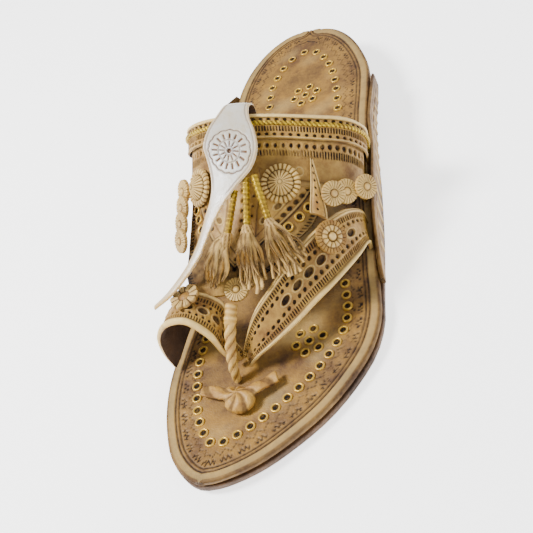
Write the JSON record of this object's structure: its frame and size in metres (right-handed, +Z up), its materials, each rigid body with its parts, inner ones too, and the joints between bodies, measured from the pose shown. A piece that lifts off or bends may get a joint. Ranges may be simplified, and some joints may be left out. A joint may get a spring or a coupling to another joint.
{
  "type": "kolhapuri sandal",
  "caption": "Flat left-foot leather slip-on sandal with a toe loop, toe thong, wide punched instep band, side flaps, stamped tongue and hanging tassels.",
  "frame": {"origin": "centre of the bounding box in plan, on the ground plane", "axes": "toe towards -Y, heel towards +Y, big-toe side -X, little-toe side +X, +Z up"},
  "size_m": [0.1066, 0.2802, 0.0816],
  "materials": {
    "tread_leather": "dark waxed edge, rough underneath",
    "sole_leather": "vegetable tanned, satin, stamped, with dark blotches",
    "upper_leather": "oiled pale leather, punched and slit, satin",
    "tongue_leather": "smooth pale leather with a soft sheen",
    "thong_leather": "twisted pale thong, satin",
    "ornament_leather": "pale stamped discs, satin",
    "tassel_leather": "thin cut leather strands, matt",
    "gold_wire": "wound gilt thread, bright"
  },
  "bodies": {
    "root": {"outsole": "tread_leather", "heel_block": "tread_leather", "midsole_wedge": "sole_leather", "top_sole": "sole_leather", "side_flap_lateral": "sole_leather", "side_flap_medial": "sole_leather", "upper": "upper_leather", "collar_strip": "upper_leather", "tongue": "tongue_leather", "toe_thong": "thong_leather", "thong_knot": "thong_leather", "arrow_strip": "upper_leather", "thong_button": "ornament_leather", "dome_rosette_lateral": "ornament_leather", "dome_rosette_medial": "ornament_leather", "toe_rosette": "ornament_leather", "flower_stud": "ornament_leather", "coin_lateral_1": "ornament_leather", "coin_lateral_2": "ornament_leather", "coin_lateral_3": "ornament_leather", "coin_medial_1": "ornament_leather", "coin_medial_2": "ornament_leather", "coin_medial_3": "ornament_leather", "coin_medial_4": "ornament_leather", "gold_tube_1": "gold_wire", "tassel_1": "tassel_leather", "gold_tube_2": "gold_wire", "tassel_2": "tassel_leather", "gold_tube_3": "gold_wire", "tassel_3": "tassel_leather"}
  },
  "joints": []
}
